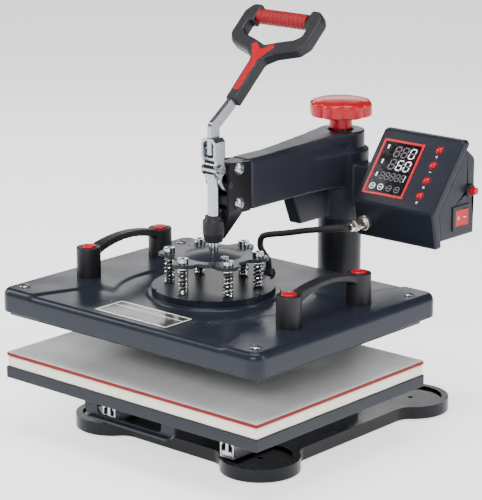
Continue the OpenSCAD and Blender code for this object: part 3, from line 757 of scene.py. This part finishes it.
for slot_name, nodes in CAD_PIECES.items():
    for node_name, edge_radius in nodes.items():
        dress(node_name, slot_name, edge_radius)


# ---------- lower platen ----------


def rectangle_points(width, depth, radius, along=18, around=5):
    """Dense rounded rectangle, for soft edges."""
    x, y = width / 2 - radius, depth / 2 - radius
    corners = [
        arc(cx * x, cy * y, radius, [(quarter + k / around) / 4 for k in range(around + 1)])
        for cx, cy, quarter in ((1, -1, -1), (1, 1, 0), (-1, 1, 1), (-1, -1, 2))
    ]
    points = []
    for i, corner in enumerate(corners):
        points.extend(corner)
        a, b = Vector(corner[-1]), Vector(corners[(i + 1) % 4][0])
        points.extend(tuple(a.lerp(b, k / along)) for k in range(1, along))
    return points


def add_foam():
    lo, hi = ends("foam_pad")
    levels = 10
    rings = []
    for i in range(levels + 1):
        t = 2 * i / levels - 1
        inset = 1.3 * abs(t) ** 5 + 0.25
        width, depth = hi.x - lo.x - 2 * inset, hi.y - lo.y - 2 * inset
        z = lo.z + (hi.z - lo.z) * i / levels
        ring = []
        for x, y in rectangle_points(width, depth, 2.5):
            wave = 0.25 * math.sin(x * 0.11 + i) * math.cos(y * 0.09 - i)
            grow = 1 + wave / max(abs(x), abs(y))
            ring.append((x * grow, y * grow, z))
        rings.append(ring)
    pad = new_object("foam_cushion", *skin(rings))
    place(pad, "drawer", "foam", "foam_pad")


def add_mat():
    mat = flat_node("silicone_layer", "silicone_mat", 2.5, 0.8)
    place(mat, "drawer", "red_silicone", "silicone_mat")


def add_top_sheet():
    lo, hi = ends("pad_top_sheet")
    rings = []
    for inset, z in ((0.2, lo.z), (0, lo.z + 0.15), (0, hi.z - 0.15), (0.2, hi.z)):
        outline = rectangle_points(hi.x - lo.x - 2 * inset, hi.y - lo.y - 2 * inset, 2)
        rings.append([(x, y, z) for x, y in outline])
    sheet = new_object("woven_top_sheet", *skin(rings))
    place(sheet, "drawer", "woven_sheet", "pad_top_sheet")


# ---------- column top and arm ----------


def add_knob():
    axis = centre("pressure_knob")
    base = low("pressure_knob").z
    lobe, lobes = 18, 8
    reach_x = (high("pressure_knob").x - low("pressure_knob").x) / 2
    tip = (reach_x - lobe) / math.cos(math.pi / lobes) + lobe

    def grip(angle, radius, z):
        if radius < 26:
            return radius
        step = math.tau / lobes
        off = (angle % step) - step / 2
        hub = tip - lobe
        reach = hub * math.cos(off) + math.sqrt(lobe**2 - (hub * math.sin(off)) ** 2)
        share = min(1.0, (radius - 26) / 7)
        return radius * (1 - share * (1 - reach / tip))

    profile = [
        (0, 24), (9, 24), (9, 0.4), (9.6, 0), (12.6, 0), (13.5, 0.8), (13.5, 12.6),
        (14.4, 13.9), (17, 14.7), (28, 15.1), (tip - 2, 15.6), (tip - 0.6, 16.4), (tip, 17.8),
        (tip, 28.6), (tip - 0.3, 30), (tip - 1.2, 31.4), (tip - 3, 32.6), (tip - 6, 33.7),
        (27, 34.5), (21, 35.4), (14, 36.1), (7, 36.4), (0, 36.5),
    ]
    knob = lathe("star_knob", profile, shift(axis.x, axis.y, base), 192, grip)
    place(knob, "knob", "red_plastic", "pressure_knob")


def add_arm_bolts():
    """Flanged bolts through the bracket, and the two screws that hold the control box."""
    parts = []
    flange, cheek = 7.6, 15
    washer = [(0, 0), (flange, 0), (flange, 0.9), (flange - 0.4, 1.2), (0, 1.2)]
    shank_y = low("arm_bolts").y + flange
    for z in (273.5, 314):
        parts.append(rod("rod", 4, -cheek, cheek, shift(0, shank_y, z) @ turn("Y", 90)))
        for side in (-1, 1):
            out = shift(side * cheek, shank_y, z) @ turn("Y", 90 * side)
            parts.append(lathe("washer", washer, out, 36))
            parts.append(dome_head("head", 6.9, 2.7, out @ shift(0, 0, 1.25)))
    wall = 2.6
    box_wall = low("control_box_rear").x + wall
    column = centre("column_tube")
    for z in (248, 278):
        out = shift(box_wall, column.y, z) @ turn("Y", 90)
        parts.append(rod("rod", 2.5, -12, 0, out, 20))
        parts.append(dome_head("head", 5, 3, out))
    bolts = join("bracket_bolts", parts)
    place(bolts, "arm", "zinc_steel", "arm_bolts")


# ---------- control box ----------

BUTTONS = ("plus", "minus", "setup", "mode")
inward = Vector(JOINTS["plus_button_press"]["axis"])
PANEL_TILT = math.degrees(math.atan2(inward.y, -inward.z))
PANEL_FACE = 2.1  # above the middle of a button's node
# local x, y and z run along the press's y, z and x
SIDEWAYS = Matrix(((0, 0, 1, 0), (1, 0, 0, 0), (0, 1, 0, 0), (0, 0, 0, 1)))


def add_bezel():
    """Front shell of the control box, a side outline with soft edges."""
    lo, hi = ends("control_box_front")
    outline = fillet(
        [
            (lo.y + 8.6, lo.z, 4), (lo.y, lo.z + 43, 6), (hi.y - 13, hi.z - 1, 5),
            (hi.y - 5, hi.z, 4), (hi.y, hi.z - 5, 4), (lo.y + 14.6, lo.z + 41, 2),
            (lo.y + 20.6, lo.z, 4),
        ],
        steps=8,
    )
    bezel = plate("box_bezel", outline, lo.x, hi.x, 3.6, SIDEWAYS, 6)
    inside = [
        (lo.y + 12, lo.z + 3), (lo.y + 3.8, lo.z + 42.2), (hi.y - 12.6, hi.z - 6.2),
        (hi.y + 17, hi.z - 6.2), (hi.y + 17, lo.z + 3),
    ]
    cut(bezel, plate("inside", inside, lo.x + 3, hi.x - 3, 0, SIDEWAYS))
    for name in BUTTONS:
        cut(bezel, rod("hole", 5.3, -8, 8, panel_frame(name + "_button", 0), 40))
    place(bezel, "arm", "box_plastic", "control_box_front")


def panel_frame(node, top):
    """Frame of the sloping panel: local x to the right, y up the slope, z outwards,
    with its origin at the node's middle raised by top."""
    return Matrix.Translation(centre(node)) @ turn("X", PANEL_TILT) @ shift(0, 0, top)


def bar(x0, y0, x1, y1, width, pointed=False):
    """Outline of a straight stroke; a display segment has pointed ends."""
    a, b = Vector((x0, y0)), Vector((x1, y1))
    along = (b - a).normalized() * width / 2
    across = Vector((-along.y, along.x))
    if pointed:
        points = [a, a + along + across, b - along + across, b, b - along - across,
                  a + along - across]
    else:
        points = [a + across, b + across, b - across, a - across]
    return [(p.x, p.y) for p in points]


def flat_prints(name, outlines, matrix, material, thick=0.08):
    """Thin printed shapes lying on local z = 0."""
    parts = [paint(prism(name, outline, 0, thick, matrix), material) for outline in outlines]
    return join(name, parts)


SEGMENTS = {
    # name: ends on a digit one unit wide and two high
    "a": (0, 2, 1, 2), "b": (1, 1, 1, 2), "c": (1, 0, 1, 1), "d": (0, 0, 1, 0),
    "e": (0, 0, 0, 1), "f": (0, 1, 0, 2), "g": (0, 1, 1, 1),
}
DIGITS = {"0": "abcdef", "1": "bc", "6": "acdefg", " ": ""}


def digit_outlines(text, x, y, width, pitch, lit):
    """Segments of a row of digits whose segments are lit, or unlit."""
    outlines = []
    gap, slant = width * 0.07, 0.09
    for i, letter in enumerate(text):
        for key, (ax, ay, bx, by) in SEGMENTS.items():
            if (key in DIGITS[letter]) != lit:
                continue
            a, b = (
                Vector((x + i * pitch + (sx + sy * slant) * width, y + sy * width * 0.86))
                for sx, sy in ((ax, ay), (bx, by))
            )
            step = (b - a).normalized() * gap
            a, b = a + step, b - step
            outlines.append(bar(a.x, a.y, b.x, b.y, width * 0.2, pointed=True))
    return outlines


def add_display():
    panel = panel_frame("display_window", 0.5)
    left = -8.5
    rows = [("  0", 15.2, 7.2, 10.6), (" 60", -1.4, 7.2, 10.6), ("    1", -15.2, 5.0, 7.4)]
    lit, unlit = [], []
    for text, y, width, pitch in rows:
        start = left if len(text) < 5 else left - 6
        lit += digit_outlines(text, start, y, width, pitch, True)
        unlit += digit_outlines(text, start, y, width, pitch, False)
    icons = []
    for y in (26, 6.5, -10.5):
        icons.append(disc_outline(-19.5, y + 1.6, 1.4))
        icons.append(bar(-19.5, y - 2.4, -19.5, y + 0.6, 2.2))
    for x in (-18.5, -7, 5, 16.5):
        icons.append(ring_outline(x, -25.5, 4.0, 0.9))
        icons.append(bar(x - 1.8, -25.5, x + 1.8, -25.5, 1.2))
    glow = flat_prints("display_digits", lit + icons[:10], panel, lit_white)
    dim = flat_prints("display_unlit", unlit + icons[10:], panel, unlit_segment, 0.05)
    for obj in (glow, dim):
        attach(obj, "arm")


def add_buttons():
    profile = [
        (0, -4.9), (6.4, -4.9), (6.4, -3.7), (5.2, -3.7), (5.2, 0.9), (5.0, 1.2), (4.7, 1.1),
        (4.4, 0.2), (4.1, 0.2), (3.95, 1.4),
    ]
    crown = 8
    for k in range(1, crown + 1):
        t = math.pi / 2 * k / crown
        profile.append((3.9 * math.cos(t), 1.4 + 1.6 * math.sin(t)))
    for name in BUTTONS:
        node = name + "_button"
        button = lathe(name + "_cap", profile, panel_frame(node, PANEL_FACE - 1.2), 40)
        place(button, node, "red_plastic", node)


def add_button_marks():
    """A small generic sign below each button."""
    shapes = {
        "plus": [bar(-1.5, 0, 1.5, 0, 0.7), bar(0, -1.5, 0, -0.35, 0.7),
                 bar(0, 0.35, 0, 1.5, 0.7)],
        "minus": [bar(-1.5, 0, 1.5, 0, 0.7)],
        "setup": [ring_outline(0, 0, 1.6, 0.6), disc_outline(0, 0, 0.5)],
        "mode": [bar(-1.4, y, 1.4, y, 0.5) for y in (-1.1, 0, 1.1)],
    }
    parts = []
    for name, outlines in shapes.items():
        spot = panel_frame(name + "_button", PANEL_FACE) @ shift(0, -9, 0)
        parts.append(flat_prints(name + "_mark", outlines, spot, white_print))
    attach(join("button_marks", parts), "arm")


def add_rocker_marks():
    """The circle and the line of a mains switch, on the two halves of its face."""
    lo, hi = ends("rocker_switch")
    axis = in_mm(Vector(JOINTS["rocker_tilt"]["pos_m"]))
    # the face is a shallow V about the pivot, and rests tilted by half its travel
    crown, slope, rest = 1.4, math.degrees(math.atan2(1.2, 10.9)), -5
    half = [ring_outline(0, 0, 1.9, 0.6)], [bar(-2.2, 0, 2.2, 0, 0.7)]
    parts = []
    for side, outlines in zip((-1, 1), half):
        face = (
            Matrix.Translation((axis.x, axis.y, (lo.z + hi.z) / 2))
            @ turn("Z", rest)
            @ shift(crown, 0, 0)
            @ turn("Z", -side * slope)
            @ shift(0.02, side * 5.4, 0)
            @ turn("Y", 90)
            @ turn("Z", 90)
        )
        parts.append(flat_prints("mark", outlines, face, white_print))
    attach(join("rocker_marks", parts), "rocker")


def add_fuse():
    spot = centre("fuse_holder")
    wall = high("control_box_rear").x
    reach = high("fuse_holder").x - wall
    out = shift(wall, spot.y, spot.z) @ turn("Y", 90)
    ring_profile = [
        (0, -6), (5, -6), (5, 0), (7.6, 0), (7.6, 2.6), (6.8, 3.5), (5.0, 3.5), (4.8, 2.6),
        (0, 2.6),
    ]
    cap_profile = [
        (0, 2.5), (4.2, 2.5), (4.2, reach - 1.2), (3.7, reach - 0.3), (2.9, reach), (0, reach),
    ]

    def knurl(angle, radius, z):
        return radius + (0.18 * math.cos(14 * angle) if radius > 4 else 0)

    body = paint(lathe("ring", ring_profile, out, 48), looks["black_plastic"])
    cap = paint(lathe("cap", cap_profile, out, 84, knurl), looks["red_plastic"])
    place(join("fuse_cap", [body, cap]), "arm", "black_plastic", "fuse_holder", painted=True)


# ---------- heater lead ----------


def add_connector():
    spot = centre("lead_connector")
    start = high("lead_connector").y - 3
    out = shift(spot.x, start, spot.z) @ turn("X", 90)
    profile = [
        (0, -3), (6, -3), (6, 1.8), (8.2, 1.8), (8.6, 2.3), (8.6, 8.4), (8.2, 9), (6, 9),
        (5.6, 9.6), (5.6, 18.4), (6.2, 19), (6.5, 19.6), (6.5, 27), (6.1, 27.6), (5.6, 28),
        (5.2, 34.6), (4.6, 35), (0, 35),
    ]

    def knurl(angle, radius, z):
        if radius > 8.3:
            return radius + 0.22 * math.cos(28 * angle)
        if 19.2 < z < 27.3:
            return radius + 0.2 * math.cos(24 * angle)
        return radius

    plug = lathe("round_connector", profile, out, 168, knurl)
    place(plug, "arm", "nickel", "lead_connector")


LEAD_RADIUS = 3.6


def add_lead():
    """Braided lead along the route that part.scad gives it, in its millimetres."""
    plug = centre("lead_connector")
    x, z = plug.x, plug.z
    cover_top = low("cable_gland").z
    route = [
        (x, 137.7, z), (x - 3, 129, z + 1), (66, 118, z), (45, 109, 231), (20, 103, 225),
        (-6, 100, 219), (-15, 100, 214), (-17, 100, 205), (-14, 101, 197), (-8, 102, 190),
        (-6, 102, 185), (-6, 102, cover_top - 3),
    ]
    path = smooth_path(route, 1.3)
    sleeve_end = 22

    def braid(i, angle):
        strand = round(angle / math.tau * 20)
        thick = max(0.0, 1 - i / sleeve_end) ** 0.5
        return LEAD_RADIUS - 0.12 + thick + (0.12 if (strand + i) % 2 else 0)

    lead = new_object("braided_lead", *skin(tube_rings(path, braid, 20)))
    paint(lead, looks["lead_rubber"])
    lead.data.shade_smooth()
    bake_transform(lead)
    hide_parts("heater_lead")


# ---------- plunger, lever and grip ----------


def plate_radius(angle):
    """Outline of the six-armed pressure plate."""
    circle, lobe, core = 51, 12, 46
    off = (math.degrees(angle) - 30) % 60
    off = math.radians(min(off, 60 - off))
    limit = math.radians(12)
    flat = math.radians(20)

    def on_lobe(a):
        return circle * math.cos(a) + math.sqrt(lobe**2 - (circle * math.sin(a)) ** 2)

    if off < limit:
        return on_lobe(off)
    share = smoothstep((off - limit) / (flat - limit))
    return on_lobe(limit) + (core - on_lobe(limit)) * share


def add_pressure_plate():
    lo = low("pressure_plate")
    thick, dome, rim = 4, high("pressure_plate").z - lo.z - 4, 34
    steps = 360

    def height(radius):
        if radius > rim:
            return thick
        t = 1 - (radius / rim) ** 2
        return thick + dome * t * (0.75 + 0.25 * t)

    angles = [math.tau * k / steps for k in range(steps)]
    rings = []

    def ring_at(share, z=None, inset=0.0):
        ring = []
        for a in angles:
            outer = plate_radius(a) - inset
            r = 5.2 + (outer - 5.2) * share
            ring.append((r * math.cos(a), r * math.sin(a), height(r) if z is None else z))
        rings.append(ring)

    ring_at(0, 0)
    ring_at(1, 0, 0.6)
    ring_at(1, 0.6)
    ring_at(1, thick - 0.6)
    ring_at(1, thick - 0.15, 0.25)
    for i in range(30, -1, -1):
        ring_at(i / 30, None, 0.7)
    verts, faces = skin(rings, closed_along=True)
    middle = shift(0, 0, lo.z)
    body = paint(new_object("plate_body", verts, faces, middle), looks["plate_paint"])
    stud_profile = [(0, 0), (5, 0), (5, 2.2), (4.6, 2.9), (3.8, 3.3), (0, 3.4)]
    stud = lathe("plate_stud", stud_profile, shift(24, -8, lo.z + thick), 36)
    paint(stud, looks["zinc_steel"])
    whole = join("flower_plate", [body, stud])
    place(whole, "plunger", "plate_paint", "pressure_plate", painted=True)


def add_grip():
    """Grip in its own leaning frame, with y up the lever to the cross bar at bar_y."""
    bar_y, lean = 116.5, 42.6
    local = Matrix.Translation(centre("grip_sleeve")) @ turn("X", lean) @ shift(0, -bar_y, 0)
    right = [
        (7.6, -5, 2), (8, 54, 8), (20, 63, 8), (48, 72, 8), (57, 84, 10), (57, 118, 10),
        (49, 129, 8), (36.2, 129, 3), (36.2, 105, 2), (43, 105, 0.5), (43, 92, 6), (36, 86, 8),
        (16, 80, 6),
    ]
    outer = fillet(mirrored(right, (0, 74, 3)))
    frame_part = plate("grip_body", outer, -7.2, 7.2, 2.6, local, 4)
    across = local @ shift(0, bar_y, 0) @ turn("Y", 90)
    bar_part = rod("grip_rod", 6, -38, 38, across, 32)
    grip = join("grip_shell", [frame_part, bar_part])
    place(grip, "lever", "black_plastic", "grip_frame")

    right = [(4, 8, 2), (4.5, 52, 5), (17, 72, 1.5), (12, 76, 1.5)]
    inlay = fillet(mirrored(right, (0, 66, 3)))
    trim = plate("grip_trim", inlay, 6.4, 7.7, 0.4, local, 2)
    place(trim, "lever", "red_plastic", "grip_inlay")

    def ribs(angle, radius, z):
        if radius < 8:
            return radius
        swell = 0.5 + 0.5 * math.cos(math.tau * z / 6.0)
        return radius - 0.45 + 0.45 * swell * (0.75 + 0.25 * math.cos(18 * angle))

    half = (high("grip_sleeve").x - low("grip_sleeve").x) / 2
    steps = 96
    profile = [(6, -half), (8.4, -half)]
    profile += [
        (9.2 if 2 < k < steps - 2 else 8.9, -half + 0.4 + (2 * half - 0.8) * k / steps)
        for k in range(steps + 1)
    ]
    profile += [(8.4, half), (6, half)]
    sleeve = lathe("grip_rubber", profile, across, 72, ribs, ring=True)
    place(sleeve, "lever", "red_rubber", "grip_sleeve")


# ---------- upper platen ----------

BOLT_CIRCLE = 51
BOLT_ANGLES = [30 + 60 * k for k in range(6)]


def add_shoulder_bolts():
    lo, hi = ends("shoulder_bolts")
    parts = []
    head = 5.6
    top = [(0, 0), (6.3, 0), (6.3, head - 0.7), (6.1, head - 0.25), (5.6, head), (0, head)]
    for angle in BOLT_ANGLES:
        spot = turn("Z", angle) @ shift(BOLT_CIRCLE, 0, 0)
        # the shanks are painted dark as painted shade for the shadow inside the springs, while
        # the heads stay chrome
        parts.append(paint(rod("shank", 3.2, lo.z, hi.z - head, spot), looks["dark_pin"]))
        seat = spot @ shift(0, 0, hi.z - head)
        cap = lathe("head", top, seat, 40)
        cap = cut(cap, hex_cutter(3.1, head - 3.2, head + 2, seat @ turn("Z", angle)))
        parts.append(paint(cap, looks["chromed_steel"]))
    bolts = join("socket_bolts", parts)
    place(bolts, "platen", "chromed_steel", "shoulder_bolts", painted=True)


def add_springs():
    lo, hi = ends("springs")
    wire = 1.1
    coil_r = 6.3 - wire
    turns, closed = 7.5, 1.0
    steps = 18
    height = hi.z - lo.z - 2 * wire
    parts = []
    for angle in BOLT_ANGLES:
        path = []
        total = round(turns * steps)
        for i in range(total + 1):
            t = i / steps
            # the first and last turn lie closed, so the ends stand flat
            open_turns = min(max(t - closed, 0.0), turns - 2 * closed)
            rise = 2 * wire * (min(t, closed) + max(0.0, t - turns + closed))
            free = height - 4 * wire * closed
            z = lo.z + wire + rise + free * open_turns / (turns - 2 * closed)
            path.append((coil_r * math.cos(math.tau * t), coil_r * math.sin(math.tau * t), z))
        rings = tube_rings(path, lambda i, a: wire, 8)
        spot = turn("Z", angle) @ shift(BOLT_CIRCLE, 0, 0)
        parts.append(new_object("coil", *skin(rings), spot))
    coils = join("coil_springs", parts)
    place(coils, "platen", "spring_steel", "springs")
    free = (hi.z - lo.z) * MM
    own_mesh(coils)


PRESSING = 1.9


def pressed_height(x, y):
    """Height of the pressed side panels of the cover above its front, rear and round middle."""
    waist = 123 + max(0.0, abs(y) - 91) * 0.375
    beside = smoothstep((abs(x) - waist) / 5 + 0.5)
    outside = smoothstep((math.hypot(x, y) - 112) / 7 + 0.5)
    near_front = smoothstep((abs(y) - 60) / 20)
    return PRESSING * (beside * near_front + outside * (1 - near_front))


def add_cover():
    lo, hi = ends("upper_cover")
    top = low("cable_gland").z
    width, depth = hi.x - lo.x, hi.y - lo.y
    middle = (lo.y + hi.y) / 2
    corner, round_r, wall = 15, 7, 4
    boss_z, boss_r = hi.z, 75.4

    def outline(inset):
        points = rectangle_points(
            width - 2 * inset, depth - 2 * inset, max(2.0, corner - inset), 120, 14
        )
        return [(x, y + middle) for x, y in points]

    levels = (wall, top - 5), (wall, lo.z), (0.8, lo.z), (0, lo.z + 0.8), (0, lo.z + 8)
    rings = [[(x, y, z) for x, y in outline(inset)] for inset, z in levels]
    for k in range(9):
        t = math.pi / 2 * k / 8
        inset = round_r * (1 - math.cos(t))
        rise = round_r * (1 - math.sin(t))
        rings.append([
            (x, y, top - rise + pressed_height(x, y) * math.sin(t)) for x, y in outline(inset)
        ])
    edge = outline(round_r)
    steps = 64
    skirt = boss_r + 3
    for k in range(1, steps + 1):
        ring = []
        for x, y in edge:
            span = math.hypot(x, y)
            reach = 1 - k / steps * (1 - skirt / span)
            px, py = x * reach, y * reach
            ring.append((px, py, top + pressed_height(px, py)))
        rings.append(ring)
    for radius, z in (
        (boss_r + 1.2, top + 0.35), (boss_r + 0.2, top + 1.3), (boss_r, boss_z - 0.9),
        (boss_r - 0.4, boss_z - 0.2), (boss_r - 1.2, boss_z), (boss_r - 20, boss_z),
    ):
        spans = [radius / math.hypot(x, y) for x, y in edge]
        rings.append([(x * k, y * k, z) for (x, y), k in zip(edge, spans)])
    cover = new_object("pressed_cover", *skin(rings))
    place(cover, "platen", "cover_paint", "upper_cover")


def add_cover_screws():
    lo, hi = ends("cover_screws")
    top = low("cable_gland").z
    parts = []
    rim = 6.2
    for x in (lo.x + rim, hi.x - rim):
        for y in (lo.y + rim, hi.y - rim):
            parts.append(rod("shank", 2.5, lo.z, top, shift(x, y, 0), 20))
            spot = shift(x, y, top + PRESSING) @ turn("Z", 20)
            parts.append(dome_head("head", 6, 2.6, spot))
    screws = join("pan_screws", parts)
    place(screws, "platen", "zinc_steel", "cover_screws")


def add_handle_caps():
    lo, hi = ends("handle_caps")
    radius = 8.8
    profile = [
        (0, -0.4), (radius, -0.4), (radius, 0.7), (radius - 0.4, 1.3), (radius - 1.2, 1.7),
        (5.4, 2.0), (4.9, 1.5), (4.3, 1.35), (3.4, 1.6), (1.8, 1.95), (0, 2.0),
    ]
    parts = [
        lathe("cap", profile, shift(x, y, lo.z), 48)
        for x in (lo.x + radius, hi.x - radius)
        for y in (lo.y + radius, hi.y - radius)
    ]
    place(join("post_caps", parts), "platen", "red_plastic", "handle_caps")


def add_label():
    """Plain plate label: a border, a dividing line and grey bars in place of writing."""
    lo, hi = ends("front_label")
    base = flat_node("label_base", "front_label", 1.5, 0.1)
    place(base, "platen", "label_film", "front_label")
    surface = shift((lo.x + hi.x) / 2, (lo.y + hi.y) / 2, hi.z)
    a, b = (hi.x - lo.x) / 2 - 1.6, (hi.y - lo.y) / 2 - 1.6
    lines = [
        bar(-a, -b, a, -b, 1.9), bar(-a, b, a, b, 1.9),
        bar(-a, -b, -a, b, 1.9), bar(a, -b, a, b, 1.9),
        bar(-a, 8, a, 8, 1.2),
    ]
    border = flat_prints("label_border", lines, surface, white_print)
    rows = []
    for y, spans in (
        (13.6, [(-14, 14)]), (3.6, [(-30, -4), (4, 38)]), (-2.4, [(-30, -8), (4, 30)]),
        (-8.4, [(-30, -2), (4, 40)]), (-14.2, [(-30, -12), (4, 34)]),
    ):
        rows += [bar(x0, y, x1, y, 1.6 if y < 10 else 3.2) for x0, x1 in spans]
    bars = flat_prints("label_bars", rows, surface, grey_print)
    for obj in (border, bars):
        attach(obj, "platen")


add_foam()
add_mat()
add_top_sheet()
add_knob()
cast("arm_casting", "swing_arm", "arm", "arm_paint", 1.3, 8)
add_arm_bolts()
add_bezel()
add_display()
add_buttons()
add_button_marks()
add_rocker_marks()
add_fuse()
add_connector()
add_lead()
add_pressure_plate()
add_grip()
add_shoulder_bolts()
add_springs()
add_cover()
add_cover_screws()
for side in ("left", "right"):
    handle = "carry_handle_" + side
    cast("lift_handle_" + side, handle, "platen", "black_plastic", 0.9, 7)
add_handle_caps()
add_label()
